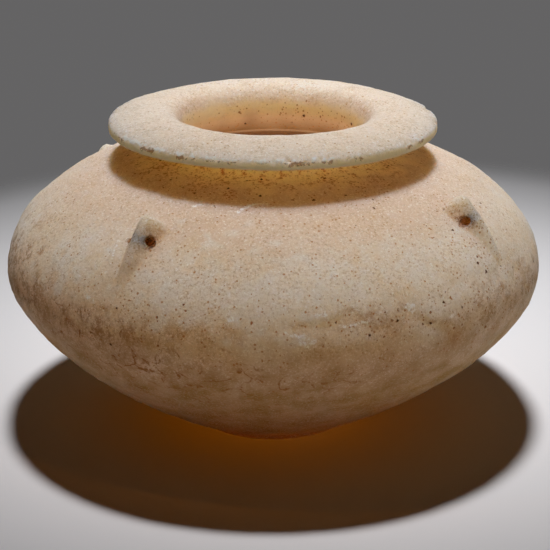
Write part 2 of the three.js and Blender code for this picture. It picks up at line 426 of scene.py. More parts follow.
rng = np.random.default_rng(21)
back_chips = [(angle, rng.uniform(1.5, 3.5), rng.uniform(0.3, 0.9))
              for angle in rng.uniform(*BACK_STRETCH, BACK_CHIPS)]
corner_gone = up_line[stretch_of == "edge"][-2]


def battered(angles):
    """How much the corner of the rim is battered at an angle: the amount of a listed stretch inside
    it, and none outside."""
    amounts = [amount * (1 - smooth(np.abs(turned(angles, middle)) / half, 0.75, 1.15))
               for middle, half, amount in BATTERED]
    return np.max(amounts, 0)


chips = np.zeros(len(points))
ragged = 1 + 0.28 * field(points, 2.6, 22)
for chip_angle, chip_length, chip_depth in FRONT_CHIPS + back_chips:
    across = np.radians(turned(angle_grid, chip_angle)) * RIM_RADIUS / (chip_length / 2)
    upward = (gone_grid - corner_gone + 0.2) / CHIP_HEIGHT
    chips = np.maximum(chips, chip_depth * np.exp(-(across ** 4 + upward ** 4) * ragged ** 2))
on_rim = np.isin(place_grid, ["edge", "top"])
chips = np.where(on_rim, chips, 0)
nibbles = (0.15 + 0.45 * battered(angle_grid)) * smooth(field(points, 2.6, 23), 0.1, 1.5)
nibbles *= np.exp(-((gone_grid - corner_gone) / NIBBLE_REACH) ** 2) * on_rim
print(len(FRONT_CHIPS) + len(back_chips), "chips, up to", round(chips.max(), 2), "mm deep")

# %% Everything together
CALMER_ON_LUGS = 0.4

rise = waves - FLAKE_DEPTH * flake - pits
room = smooth(BELLY_RADIUS - radius_grid, 0, 3) * smooth(RIM_CREST_HEIGHT - height_grid, 0, 1.2)
rise = np.where(rise > 0, rise * room, rise)
rise *= 1 - CALMER_ON_LUGS * smooth(lugs, 0.2, 3)
rise += lugs - chips - nibbles
rise[np.isin(place_grid, ["underside", "mouth", "inside", "floor"])] = 0
rise[(place_grid == "foot") & (height_grid < 0.1)] = 0
moved = points + normals * rise[:, None]
moved[:, 2] = np.clip(moved[:, 2], 0, RIM_CREST_HEIGHT)
print("the surface moves from", round(rise.min(), 2), "to", round(rise.max(), 2), "mm")

# %% [markdown]
# ## The mesh
# Each square of the grid becomes a face, and a fan of triangles closes the middle of the underside
# and the middle of the floor. Faces are listed so that they point outwards: along the line first,
# then round the bowl.

# %% Faces
RINGS = len(line)


def skin():
    """Corners of every square of the grid, and of the two fans at its poles."""
    ring, column = np.meshgrid(np.arange(RINGS - 1), np.arange(COLUMNS), indexing="ij")
    here = ring * COLUMNS + column
    beside = ring * COLUMNS + (column + 1) % COLUMNS
    squares = np.stack([here, beside, beside + COLUMNS, here + COLUMNS], -1).reshape(-1, 4)
    turn = np.arange(COLUMNS)
    after = (turn + 1) % COLUMNS
    last = (RINGS - 1) * COLUMNS
    bottom = np.stack([np.full(COLUMNS, RINGS * COLUMNS), after, turn], -1)
    floor = np.stack([np.full(COLUMNS, RINGS * COLUMNS + 1), last + turn, last + after], -1)
    return squares, bottom, floor


def bowl_mesh(corners):
    """A closed mesh of the grid, in metres."""
    squares, bottom, floor = skin()
    ends = np.array([[0, 0, 0], [0, 0, BASE_THICKNESS]])
    vertices = np.concatenate([corners, ends]) * MM
    loops = np.concatenate([squares.ravel(), bottom.ravel(), floor.ravel()])
    sides = np.concatenate([np.full(len(squares), 4), np.full(len(bottom) + len(floor), 3)])
    starts = np.concatenate([[0], np.cumsum(sides)[:-1]])
    mesh = bpy.data.meshes.new("carved_alabaster")
    mesh.vertices.add(len(vertices))
    mesh.vertices.foreach_set("co", vertices.ravel())
    mesh.loops.add(len(loops))
    mesh.loops.foreach_set("vertex_index", loops)
    mesh.polygons.add(len(sides))
    mesh.polygons.foreach_set("loop_start", starts)
    mesh.polygons.foreach_set("loop_total", sides)
    mesh.polygons.foreach_set("use_smooth", np.ones(len(sides), bool))
    mesh.update(calc_edges=True)
    mesh.validate()
    return mesh


def placed(name, data):
    """A new object in the scene, at the origin."""
    shape = bpy.data.objects.new(name, data)
    bpy.context.scene.collection.objects.link(shape)
    return shape


bowl = placed("carved_bowl", bowl_mesh(moved))
print(len(bowl.data.polygons), "faces")

# %% [markdown]
# ## The string holes
# A level hole runs through each whole lug, for a cord. It was drilled from both sides, so it opens
# out at its ends. A drill is made as a lathe shape, narrow in the middle, and a modifier cuts it out
# of the bowl. The modifier is applied, because the marks of earth are worked out afterwards from the
# finished surface.

# %% Places of the string holes
STRING_HOLE = 3.6
STRING_HOLE_FLARE = 0.5
STRING_HOLE_PLACE = 0.66
STRING_HOLE_ABOVE_WALL = 2.1
DRILL_REACH = 8.0
wall_rings = stretch_of == "upper"


def wall_point(distance_up):
    """Radius and height of the wall, and its outward direction, at a distance up from the belly."""
    gone = up_line[wall_rings] - belly_gone
    part = [np.interp(distance_up, gone, values[wall_rings]) for values in
            (line[:, 0], line[:, 1], outward[:, 0], outward[:, 1])]
    return np.array(part[:2]), np.array(part[2:])


def hole_middle(lug_angle):
    """The middle of a lug's string hole and the level direction that it runs in."""
    wall, out = wall_point(LUG_TIP_UP_SHOULDER + STRING_HOLE_PLACE * LUG_LENGTH)
    radius, height = wall + out * STRING_HOLE_ABOVE_WALL
    angle = math.radians(lug_angle)
    middle = Vector((radius * math.sin(angle), -radius * math.cos(angle), height))
    return middle, Vector((math.cos(angle), math.sin(angle), 0))


print("the first hole is", round(hole_middle(FIRST_LUG_AZIMUTH)[0].z, 1), "mm above the table")


# %% Drills
def drill(lug_angle, sides=24, steps=13):
    """A closed lathe shape about the hole's line: its radius grows with the square of the share gone
    from the middle, and reaches its flare where it leaves the lug."""
    middle, way = hole_middle(lug_angle)
    side = way.cross(Vector((0, 0, 1)))
    share = np.linspace(-1, 1, steps)
    radius = STRING_HOLE / 2 + STRING_HOLE_FLARE * share ** 2
    turn = np.linspace(0, 2 * math.pi, sides, endpoint=False)
    along_way = np.outer(share * DRILL_REACH, np.ones(sides))[..., None] * np.array(way)
    round_way = radius[:, None, None] * (np.cos(turn)[:, None] * np.array(side)
                                         + np.sin(turn)[:, None] * np.array((0, 0, 1)))
    corners = (np.array(middle) + along_way + round_way).reshape(-1, 3) * MM
    ring, column = np.meshgrid(np.arange(steps - 1), np.arange(sides), indexing="ij")
    here = ring * sides + column
    beside = ring * sides + (column + 1) % sides
    faces = np.stack([here, beside, beside + sides, here + sides], -1).reshape(-1, 4).tolist()
    faces += [list(range(sides))[::-1], list(range((steps - 1) * sides, steps * sides))]
    mesh = bpy.data.meshes.new("drill")
    mesh.from_pydata(corners.tolist(), [], faces)
    return placed("drill", mesh)


def recalculated(shape):
    """Turns a loose shape's faces outwards."""
    loose = bmesh.new()
    loose.from_mesh(shape.data)
    bmesh.ops.recalc_face_normals(loose, faces=loose.faces)
    loose.to_mesh(shape.data)
    loose.free()


# %% Drill the lugs
for lug_angle in WHOLE_LUGS:
    bit = drill(lug_angle)
    recalculated(bit)
    cut = bowl.modifiers.new("string_hole", "BOOLEAN")
    cut.operation = "DIFFERENCE"
    cut.solver = "EXACT"
    cut.object = bit
    with bpy.context.temp_override(object=bowl, active_object=bowl):
        bpy.ops.object.modifier_apply(modifier=cut.name)
    bpy.data.objects.remove(bit)
bowl.data.polygons.foreach_set("use_smooth", np.ones(len(bowl.data.polygons), bool))
print("after drilling:", len(bowl.data.vertices), "points,", len(bowl.data.polygons), "faces")

# %% [markdown]
# ## Where earth, wear, fresh stone, painted glow and painted shade lie
# The finish needs to know where things happened: earth caught in the groove and the lugs, a smoother
# and browner lower half, whose darkening is partly painted shade, and a battered corner that shows
# fresh stone. It also needs to know where glow and shade are painted on: painted glow in the mouth,
# in the groove under the rim and on the rim's edge, and painted shade on the sides of the mouth's
# roll, deep in the mouth and the hollow, on the shoulder below the groove and on the lugs' flanks.
# These are kept as numbers on the points of the mesh, worked out from each point's angle and height,
# and the material reads them by name. They could be painted on by hand, but a change of the shape
# would then lose them.

# %% The finished surface
PATCH_RAGGED = 0.35

count = len(bowl.data.vertices)
flat = np.empty(count * 3)
bowl.data.vertices.foreach_get("co", flat)
surface = flat.reshape(-1, 3) / MM
surface_angle = np.degrees(np.arctan2(surface[:, 0], -surface[:, 1]))
surface_radius = np.hypot(surface[:, 0], surface[:, 1])
surface_height = surface[:, 2]


def keep(name, values):
    """Stores one number for each point of the bowl under a name."""
    layer = bowl.data.attributes.new(name, "FLOAT", "POINT")
    layer.data.foreach_set("value", np.clip(values, 0, 1).astype(np.float32))
    print(name, "covers", round(float(np.mean(values > 0.3)) * 100, 1), "% of the points")


def waved(amount, wavelength, seed):
    """The height of each point, waved by an amount of a field."""
    return surface_height + amount * field(surface, wavelength, seed)


def within(radius, lowest, highest=RIM_CREST_HEIGHT + 1):
    """Whether points lie nearer to the axis than a radius, and between two heights."""
    return (surface_radius < radius) & (surface_height > lowest) & (surface_height < highest)


def patches(listed):
    """Sum over a list of amount, angle, height, half width, half height and seed. A patch has its
    amount in the middle and none outside: distance in shares of its half sizes, with a ragged edge
    from a field."""
    total = np.zeros(count)
    for amount, angle, height, half_width, half_height, seed in listed:
        across = np.radians(turned(surface_angle, angle)) * surface_radius / half_width
        upward = (surface_height - height) / half_height
        distance = np.hypot(across, upward) + PATCH_RAGGED * field(surface, 7, seed)
        total += amount * (1 - smooth(distance, 0.5, 1.15))
    return total


# %% Inner skin, outer skin and the places under the rim
WALL_TOP = 134.0

body_rings = np.isin(stretch_of, ["lower", "upper", "groove"])
wall_radius = np.interp(surface_height, line[body_rings, 1], line[body_rings, 0])
inner_skin = (surface_radius < wall_radius - WALL / 2) & (surface_height > 5) & (surface_height < WALL_TOP)
outer_skin = ~inner_skin & (surface_height < WALL_TOP)
in_groove = within(70, 121, 136)
under_rim = within(73.2, 121, 137.2) * ~within(44.5, 100)
facing = np.abs(turned(surface_angle, -6)) < 72
# groove: painted glow in the groove under the rim, for light that comes through the rim; stained is a real
# stain.
keep("groove", under_rim * smooth(waved(0.7, 12, 59), 122.5, 127))
keep("stained", facing * under_rim * smooth(waved(1.0, 9, 49), 123, 126))

# %% Earth and the paler clouds above the belly
EARTH_PATCHES = [
    (0.85, -36, 78, 16, 9, 52), (0.75, 50, 84, 12, 9, 53), (0.7, -52, 78, 20, 12, 54),
    (0.6, 20, 86, 14, 5, 55), (0.5, -14, 84, 18, 6, 56), (0.8, 150, 90, 40, 14, 57),
    (0.7, -120, 84, 36, 12, 58), (1.0, -74, 86, 26, 13, 45), (0.9, -62, 78, 16, 8, 44),
    (0.8, 66, 80, 20, 8, 43), (0.6, -26, 64, 40, 12, 60), (0.5, 14, 62, 30, 8, 50),
]
CLOUDY_PATCHES = [
    (0.9, -10, 97, 44, 13, 46), (0.9, -50, 97, 13, 11, 47), (0.6, 24, 103, 24, 8, 48),
    (0.7, 52, 92, 12, 12, 42),
]
keep("earth", patches(EARTH_PATCHES) * outer_skin)
keep("cloudy", patches(CLOUDY_PATCHES))

# %% The edge of the flaked hollow
FLAKE_LINE_DOWN = 0.9
FLAKE_LINE_WIDTH = 1.1

up_here = np.interp(surface_height, line[wall_rings, 1], up_line[wall_rings]) - belly_gone
below_top, side_share = under_flake_top(surface_angle, up_here, surface)
flake_line = np.exp(-((below_top - FLAKE_LINE_DOWN) / FLAKE_LINE_WIDTH) ** 2)
flake_line *= 1 - smooth(np.abs(side_share), 0.8, 1.2)
keep("flake_line", flake_line * (up_here > 1))

# %% Specks and root marks
SPECK_PATCHES = [
    (2.2, 52, 105.5, 14, 12, 61), (0.8, 46, 84, 26, 12, 62), (0.7, -20, 84, 26, 9, 63),
    (0.75, 22, 84, 22, 8, 64), (0.6, -5, 122, 22, 4, 66), (0.7, 32, 122, 14, 5, 67),
    (0.5, 140, 95, 60, 30, 68), (0.5, -140, 80, 50, 25, 69),
]
ROOT_PATCHES = [
    (1.0, -24, 62, 40, 16, 71), (0.9, -4, 58, 30, 11, 72), (0.9, -40, 74, 22, 12, 70),
    (0.6, -58, 82, 16, 10, 77), (0.8, 12, 60, 22, 6, 73), (0.7, -38, 62, 16, 10, 74),
    (0.8, 170, 60, 60, 16, 75), (0.5, 75, 60, 30, 12, 76),
]
groove_specks = in_groove * smooth(field(surface, 16, 65), -1.0, 0.6)
keep("specks", patches(SPECK_PATCHES) + 0.8 * groove_specks)
keep("roots", patches(ROOT_PATCHES))

# %% Earth on the lugs, and painted shade on their flanks
# For each lug: earth caught round the hole, earth in the hole, and painted shade in grey on its flanks.
LUG_EARTH_AND_SHADE = [(0.9, 1.0, 0.9), (1.0, 0.6, 0.3), (0.9, 0.8, 0.5)]
HOLE_REACH = 2.15
LUG_REACH = 9.0
SHADE_REACH = 12.0

lug_caught, lug_dark, lug_shade = np.zeros((3, count))
for lug_angle, (caught, filled, shade_amount) in zip(WHOLE_LUGS, LUG_EARTH_AND_SHADE):
    middle, way = map(np.array, hole_middle(lug_angle))
    along_hole = (surface - middle) @ way
    from_line = np.linalg.norm(surface - middle - np.outer(along_hole, way), axis=1)
    bored = (np.abs(along_hole) < DRILL_REACH) & (from_line < HOLE_REACH)
    lug_dark = np.maximum(lug_dark, filled * bored)
    on_lug = (np.abs(along_hole) < LUG_REACH) & (surface_radius > wall_radius + 1.2)
    around = 1 - smooth(from_line + 0.7 * field(surface, 3, 82), 1.8, 8.5)
    lug_caught = np.maximum(lug_caught, caught * on_lug * around)
    across = np.abs(np.radians(turned(surface_angle, lug_angle)) * surface_radius)
    proud = smooth(surface_radius - wall_radius, 0.5, 2.0) * (1 - 0.6 * smooth(surface_height, 102, 107))
    lug_shade = np.maximum(lug_shade, shade_amount * proud * (across < SHADE_REACH))
keep("hole_earth", lug_dark)
keep("lug_earth", lug_caught)
# Painted shade: grey on the lugs' flanks, less on their tops.
keep("worn_grey", lug_shade * smooth(field(surface, 9, 83), -2.0, -0.2))

# %% The battered corner and the edge of the rim
from_corner = np.hypot(surface_radius - RIM_RADIUS + 0.6, surface_height - edge_top + 0.1)
from_below = np.hypot(surface_radius - RIM_RADIUS, surface_height - edge_top + 1.5)
at_corner = battered(surface_angle) * np.exp(-(from_corner / 1.25) ** 2)
below_corner = battered(surface_angle) * np.exp(-(from_below / 0.85) ** 2)
keep("chipped", at_corner * smooth(field(surface, 4.5, 91), -0.8, 0.5))
keep("under_chip", below_corner * smooth(field(surface, 6, 92), -0.6, 0.6))
# Painted glow: a bright orange on the edge face of the rim, for light that comes through it.
edge_glow_band = smooth(surface_height, 134.5, 135.5) * (1 - smooth(surface_height, 138.2, 139.6))
keep("rim_edge", edge_glow_band * smooth(surface_radius, 70.6, 71.6))
rough_back = np.exp(-(turned(surface_angle, 160) / 15) ** 2) * (surface_height > 139)
rough_back *= smooth(surface_radius, 42, 44) * (1 - smooth(surface_radius, 50, 54))
keep("rough_white", rough_back)

# %% Mouth, hollow, shoulder and foot, with painted glow and painted shade
in_mouth = within(48, 100)
ragged_height = waved(0.5, 12, 93)
# Painted glow: inside the mouth, below the crest, for light that comes through the rim.
keep("mouth_side", in_mouth * (1 - smooth(ragged_height, 135, 140)))
# Painted shade: dark brown deep in the mouth, where it goes down into the hollow.
keep("hollow", in_mouth * (1 - smooth(ragged_height, 122, 134.5)))
# Painted shade on the sides of the mouth's inner roll, mottled like a stain.
mouth_edge = np.exp(-((surface_height - 140.5) / 2.2) ** 2) * (surface_radius < 47)
keep("mouth_edge", mouth_edge * np.exp(-((np.abs(surface_angle) - 105) / 38) ** 2))
below_groove = 1 - smooth(surface_height, 123, 127)
# Painted shade on the shoulder below the groove, where the rim's shadow fades out.
keep("collar", smooth(waved(1.2, 24, 94), 98, 122) * below_groove * outer_skin)
# Painted shade on the inner walls of the hollow.
keep("deep", inner_skin & (surface_radius > 44))
keep("high_up", smooth(waved(1.5, 20, 86), 100, 122))
# near_foot and the lower side of crust make the lower half browner and darker: partly patina, partly
# painted shade.
keep("near_foot", (1 - smooth(waved(2, 18, 87), 6, 74)) * outer_skin)
keep("crust", smooth(waved(3.5, 26, 84) + 2.5 * field(surface, 9, 85), 48, 92))

# %% [markdown]
# ## The stone
# Alabaster takes light in, scatters it and lets it out again a few millimetres off, red light going
# farthest. The shader has this as subsurface scattering, walked at random through the closed mesh,
# so the rim, the neck and the foot glow as the real ones do. Part of the glow is painted on as well,
# as bright orange tones in the mouth, in the groove under the rim and on the rim's edge; painted
# glow stays put when the light moves.
#
# The colour is built in layers, each over the last. A layer is a tone and a share, and the share is
# a product of two things: where the tone belongs, read from the numbers kept on the points, and a
# noise in space that breaks it up. So the pattern is solid like the stone, and has no seam.

# %% Helpers for the finish
def emptied(owner):
    """The node tree of a material or a world, with nothing in it."""
    owner.use_nodes = True
    owner.node_tree.nodes.clear()
    return owner.node_tree


def made(kind, inputs=None, **settings):
    """A shader node in the tree of the moment: settings are its own choices, and inputs are values
    or sockets by name."""
    new = tree.nodes.new(kind)
    for name, value in settings.items():
        setattr(new, name, value)
    for name, value in (inputs or {}).items():
        if isinstance(value, bpy.types.NodeSocket):
            tree.links.new(value, new.inputs[name])
        else:
            new.inputs[name].default_value = value
    return new


def calculated(operation, first, second=0.0, third=0.0, clamp=False):
    """One step of arithmetic on numbers or sockets."""
    return made("ShaderNodeMath", {0: first, 1: second, 2: third}, operation=operation,
                use_clamp=clamp).outputs[0]


def shifted(operation, first, second, output=0):
    """One step of arithmetic on places: the second is a place too, or for SCALE a number."""
    name = "Scale" if operation == "SCALE" else 1
    return made("ShaderNodeVectorMath", {0: first, name: second}, operation=operation).outputs[output]


def between(value, start, end, low_value=0.0, high_value=1.0):
    """A smooth ramp of a value from one bound to another."""
    return made("ShaderNodeMapRange",
                {"Value": value, "From Min": start, "From Max": end, "To Min": low_value,
                 "To Max": high_value}, interpolation_type="SMOOTHSTEP").outputs["Result"]


# %% Layers for the finish
def kept(name):
    """A number that is kept on the points of the mesh."""
    return made("ShaderNodeAttribute", attribute_name=name).outputs["Fac"]


def layered(under, tone, amount, *shares):
    """A tone over the colour so far, by an amount times all the shares."""
    total = amount
    for share in shares:
        total = calculated("MULTIPLY", share, total)
    mix = made("ShaderNodeMix", {0: total, 6: under, 7: (*tone, 1)}, data_type="RGBA")
    return mix.outputs[2]


# %% Noises for the finish
STONE = bpy.data.materials.new("translucent_alabaster")
tree = emptied(STONE)
here = made("ShaderNodeTexCoord").outputs["Object"]


def cloud(size, detail=2.0, roughness=0.5):
    """Noise whose lumps are about size millimetres wide."""
    return made("ShaderNodeTexNoise", {"Vector": here, "Scale": 1 / (size * MM), "Detail": detail,
                                       "Roughness": roughness}).outputs["Fac"]


def mottled(size, detail, roughness, start, end, least=0.0, most=1.0):
    """Lumps of such noise, cut off softly between two of its values."""
    return between(cloud(size, detail, roughness), start, end, least, most)


def pushed(size, push, detail=2.0, middle=0.0):
    """Places pushed about by noise: its three numbers, less their middle, times the push, in
    millimetres."""
    noise = made("ShaderNodeTexNoise", {"Vector": here, "Scale": 1 / (size * MM), "Detail": detail})
    offset = shifted("SUBTRACT", noise.outputs["Color"], (middle, middle, middle))
    return shifted("ADD", here, shifted("SCALE", offset, push * MM))


# %% Tones of the stone
# Tones are red, green and blue shares of the light that is given back.
WARM = (0.80, 0.625, 0.47)
PALE = (0.84, 0.715, 0.60)
CLOUDY_TONE = (0.80, 0.73, 0.655)
BROWNISH = (0.45, 0.285, 0.14)
FRESH = (0.98, 0.94, 0.89)
# Painted shade on the lugs' flanks.
LUG_SHADE_GREY = (0.46, 0.33, 0.21)
CHIP_GREY = (0.84, 0.76, 0.67)
CHIP_SHADE = (0.17, 0.085, 0.035)
# Patina and foot brown: partly the stone's patina, partly painted shade of the lower half.
PATINA_AND_SHADE = (0.345, 0.212, 0.05)
FOOT_BROWN_AND_SHADE = (0.225, 0.09, 0.004)
RIM_TONE = (0.79, 0.59, 0.47)
# Painted shade on the shoulder below the groove.
SHOULDER_SHADE_TONE = (0.62, 0.455, 0.35)
# Painted glow inside the mouth.
MOUTH_GLOW_TONE = (0.97, 0.71, 0.48)
# Painted glow in the groove under the rim.
GROOVE_GLOW_TONE = (0.98, 0.74, 0.51)
# Painted glow on the rim's edge.
EDGE_GLOW_TONE = (1.0, 0.66, 0.44)
# Painted shade deep in the mouth and in the hollow.
HOLLOW_SHADE_BROWN = (0.15, 0.062, 0.01)
DEEP_SHADE_BROWN = (0.15, 0.06, 0.01)

# %% Tones of what burial left
EARTH = (0.34, 0.175, 0.055)
DARK_EARTH = (0.055, 0.028, 0.012)
HOLE_EARTH = (0.36, 0.17, 0.06)
# Also painted shade on the sides of the mouth's roll.
STAIN_AND_SHADE = (0.40, 0.17, 0.04)
RUST = (0.33, 0.13, 0.03)
SPECK_BROWN = (0.42, 0.19, 0.05)
ROOT_BROWN = (0.30, 0.13, 0.02)

# %% Clouds, earth, and patina that is partly painted shade
colour = layered((*WARM, 1), PALE, 1.0, mottled(34, 3, 0.6, 0.38, 0.62))
colour = layered(colour, EARTH, 0.75, kept("earth"), mottled(4, 6, 0.8, 0.43, 0.57))
below_crust = calculated("SUBTRACT", 1.0, kept("crust"))
# Below the crust and towards the foot the stone is browner and darker: partly patina, partly painted
# shade.
colour = layered(colour, PATINA_AND_SHADE, 1.0, below_crust, mottled(11, 4, 0.65, 0.3, 0.7, 0.6, 1.0))
colour = layered(colour, FOOT_BROWN_AND_SHADE, 0.8, kept("near_foot"))
colour = layered(colour, RIM_TONE, 0.75, kept("high_up"))
colour = layered(colour, BROWNISH, 0.3, kept("high_up"), mottled(8, 5, 0.75, 0.48, 0.66))
# Painted shade on the shoulder below the groove.
colour = layered(colour, SHOULDER_SHADE_TONE, 0.5, kept("collar"))
colour = layered(colour, CLOUDY_TONE, 1.0, kept("cloudy"), mottled(9, 3, 0.5, 0.4, 0.6, 0.4, 0.8))
colour = layered(colour, EARTH, 0.55, kept("flake_line"), mottled(3, 5, 0.8, 0.42, 0.58))

# %% Grain
brown_grain = mottled(1.3, 5, 0.85, 0.50, 0.60)
pale_grain = mottled(0.95, 4, 0.85, 0.54, 0.61)
colour = layered(colour, BROWNISH, 1.0, brown_grain, mottled(16, 3, 0.5, 0.35, 0.65, 0.3, 0.65))
colour = layered(colour, FRESH, 1.0, pale_grain, between(kept("crust"), 0.0, 1.0, 0.2, 0.6))

# %% Mouth, hollow and groove: painted glow, painted shade and a real stain
# Painted shade, mottled like a stain, on the sides of the mouth's inner roll.
colour = layered(colour, STAIN_AND_SHADE, 0.28, kept("mouth_edge"), mottled(3, 5, 0.75, 0.36, 0.56))
# Painted glow inside the mouth, for light that comes through the rim.
colour = layered(colour, MOUTH_GLOW_TONE, 0.85, kept("mouth_side"))
# Painted shade deep in the mouth and on the walls of the hollow.
colour = layered(colour, HOLLOW_SHADE_BROWN, 0.95, kept("hollow"))
colour = layered(colour, DEEP_SHADE_BROWN, 0.9, kept("deep"))
# Painted glow in the groove under the rim; the stain over it is real.
colour = layered(colour, GROOVE_GLOW_TONE, 0.8, kept("groove"))
colour = layered(colour, STAIN_AND_SHADE, 0.75, kept("stained"), mottled(2.4, 6, 0.8, 0.50, 0.60))


# %% Specks
def speckled(cell, rare, common, smallest, largest):
    """Dots scattered one to a cell: a cell has one if its random number is under a bound, which is
    higher where the mesh is marked for specks, and a second random number gives the size."""
    place = pushed(cell * 0.45, cell * 0.5, middle=0.5)
    dots = made("ShaderNodeTexVoronoi", {"Vector": place, "Scale": 1 / (cell * MM)})
    parts = made("ShaderNodeSeparateColor", {"Color": dots.outputs["Color"]})
    bound = between(kept("specks"), 0.0, 1.0, rare, common)
    chosen = calculated("LESS_THAN", parts.outputs[0], bound)
    size = between(parts.outputs[1], 0.0, 1.0, smallest, largest)
    inner = calculated("MULTIPLY", size, 0.6)
    dot = made("ShaderNodeMapRange", {"Value": dots.outputs["Distance"], "From Min": inner,
                                      "From Max": size, "To Min": 1.0, "To Max": 0.0})
    return calculated("MULTIPLY", dot.outputs["Result"], chosen)


small_specks = speckled(1.4, 0.18, 0.75, 0.14, 0.42)
large_specks = speckled(2.7, 0.010, 0.50, 0.10, 0.30)
colour = layered(colour, SPECK_BROWN, 0.8, small_specks)
colour = layered(colour, RUST, 0.9, large_specks)
colour = layered(colour, DARK_EARTH, 0.85, large_specks, mottled(4, 2, 0.5, 0.50, 0.56))

# %% Root marks
ROOT_MESH = 13.0
root_place = pushed(9, 12, detail=3.0)
web = made("ShaderNodeTexVoronoi", {"Vector": root_place, "Scale": 1 / (ROOT_MESH * MM)},
           feature="DISTANCE_TO_EDGE")
thread = between(web.outputs["Distance"], 0.006, 0.045, 1.0, 0.0)
colour = layered(colour, ROOT_BROWN, 0.9, thread, mottled(6, 4, 0.7, 0.46, 0.56), kept("roots"))

# %% Lugs
# Painted shade in grey on the lugs' flanks.
colour = layered(colour, LUG_SHADE_GREY, 0.6, kept("worn_grey"))
colour = layered(colour, EARTH, 0.85, kept("lug_earth"), mottled(1.5, 4, 0.8, 0.52, 0.58))
colour = layered(colour, HOLE_EARTH, 1.0, kept("hole_earth"))
colour = layered(colour, DARK_EARTH, 1.0, kept("hole_earth"), mottled(0.8, 3, 0.7, 0.46, 0.54, 0.0, 0.9))

# %% Edge of the rim and its chips
rough_edge = calculated("MULTIPLY_ADD", cloud(1.3, 4, 0.75), 2.6, -1.3)
bite = between(calculated("ADD", kept("chipped"), rough_edge), 0.42, 0.62)
beneath = between(calculated("ADD", kept("under_chip"), rough_edge), 0.38, 0.55)
# Painted glow on the edge face of the rim.
colour = layered(colour, EDGE_GLOW_TONE, 0.9, kept("rim_edge"))
colour = layered(colour, CHIP_GREY, 0.8, kept("rough_white"), mottled(1.6, 4, 0.8, 0.48, 0.58))
colour = layered(colour, CHIP_SHADE, 0.7, beneath)
colour = layered(colour, CHIP_GREY, 0.85, bite)
print(len(tree.nodes), "nodes so far")

# %% [markdown]
# Bruises and scratches that show fresh white stone have places of their own. Each is a short
# straight stroke in space: the shader measures how far a point is from it, and a noise added to that
# distance gives it a crumbled edge. Each has the angle and height of its start and of its end, its
# half width, and on a lug how far it stands off the wall.

# %% Bruises and scratches
BRUISES = [
    (7.0, 79.8, 5.7, 80.9, 3.0), (9.9, 90.1, 8.7, 89.8, 1.4), (28.0, 88.2, 27.2, 89.3, 2.1),
    (37.6, 82.2, 36.8, 82.0, 1.1), (-8.3, 88.6, -7.5, 88.3, 1.1), (20.2, 97.0, 20.6, 97.6, 0.9),
    (-25.0, 119.8, -23.2, 120.6, 0.7), (-10.8, 119.6, -7.6, 121.4, 1.0), (-6.2, 121.6, -1.8, 122.0, 0.6),
    (13.6, 85.0, 18.5, 86.2, 0.55), (2.5, 83.6, 6.0, 81.6, 0.7), (20.5, 86.4, 26.0, 85.6, 0.5),
    (-38.5, 107.5, -37.0, 101.0, 1.0), (-39.5, 88.5, -37.8, 87.2, 1.2), (36.0, 100.0, 36.4, 100.8, 0.9),
    (150.0, 100.0, 152.0, 99.0, 1.4), (-150.0, 88.0, -146.0, 90.0, 1.2), (110.0, 92.0, 112.0, 95.0, 1.3),
]
LUG_BRUISES = [
    (-35.5, 110.0, -36.0, 107.0, 1.1, 8.0), (-36.3, 105.0, -36.6, 101.5, 1.1, 6.5),
    (-35.2, 97.5, -35.8, 95.5, 1.5, 4.0), (53.5, 107.0, 54.2, 104.5, 0.9, 8.0),
]
CRUMBLED_BY = 4.2
crumble = calculated("MULTIPLY", calculated("SUBTRACT", cloud(1.5, 3, 0.7), 0.5), CRUMBLED_BY * MM)


def on_wall(angle, height, off):
    """The point at an angle and a height, some way off the outer wall, in metres."""
    rings = np.isin(stretch_of, ["lower", "upper"])
    radius = np.interp(height, line[rings, 1], line[rings, 0]) + off
    turn = math.radians(angle)
    return Vector((radius * math.sin(turn), -radius * math.cos(turn), height)) * MM


def bruise(start_angle, start_height, end_angle, end_height, half_width, off=0.0):
    """One on a straight stroke between two places, and none farther off than its half width: a
    point's distance is taken from the nearest point of the stroke, at a share of its way."""
    start = on_wall(start_angle, start_height, off)
    way = on_wall(end_angle, end_height, off) - start
    offset = shifted("SUBTRACT", here, tuple(start))
    reached = shifted("DOT_PRODUCT", offset, tuple(way / way.length_squared), "Value")
    share = calculated("ADD", reached, 0.0, clamp=True)
    distance = shifted("DISTANCE", offset, shifted("SCALE", tuple(way), share), "Value")
    rough = calculated("ADD", distance, crumble)
    return between(rough, half_width * 0.55 * MM, half_width * MM, 1.0, 0.0)


bruised = bruise(*BRUISES[0])
for place in BRUISES[1:] + LUG_BRUISES:
    bruised = calculated("MAXIMUM", bruised, bruise(*place))
colour = layered(colour, FRESH, 0.95, bruised, mottled(1.7, 4, 0.85, 0.44, 0.54, 0.1, 1.0))
print(len(BRUISES) + len(LUG_BRUISES), "bruises and scratches")

# %% [markdown]
# Fine grain that is smaller than the mesh can hold goes into a bump: small sugar-like crystals, and
# a shallow pit under each speck. The larger forms above are all real geometry.

# %% Bump and shader
BUMP_DEPTH = 0.7
STONE_SETTINGS = {
    "Roughness": 0.72,
    "IOR": 1.45,
    "Specular IOR Level": 0.12,
    "Subsurface Weight": 0.9,
    "Subsurface Radius": (1.0, 0.85, 0.55),
    "Subsurface Scale": 30 * MM,
    "Subsurface Anisotropy": 0.0,
}

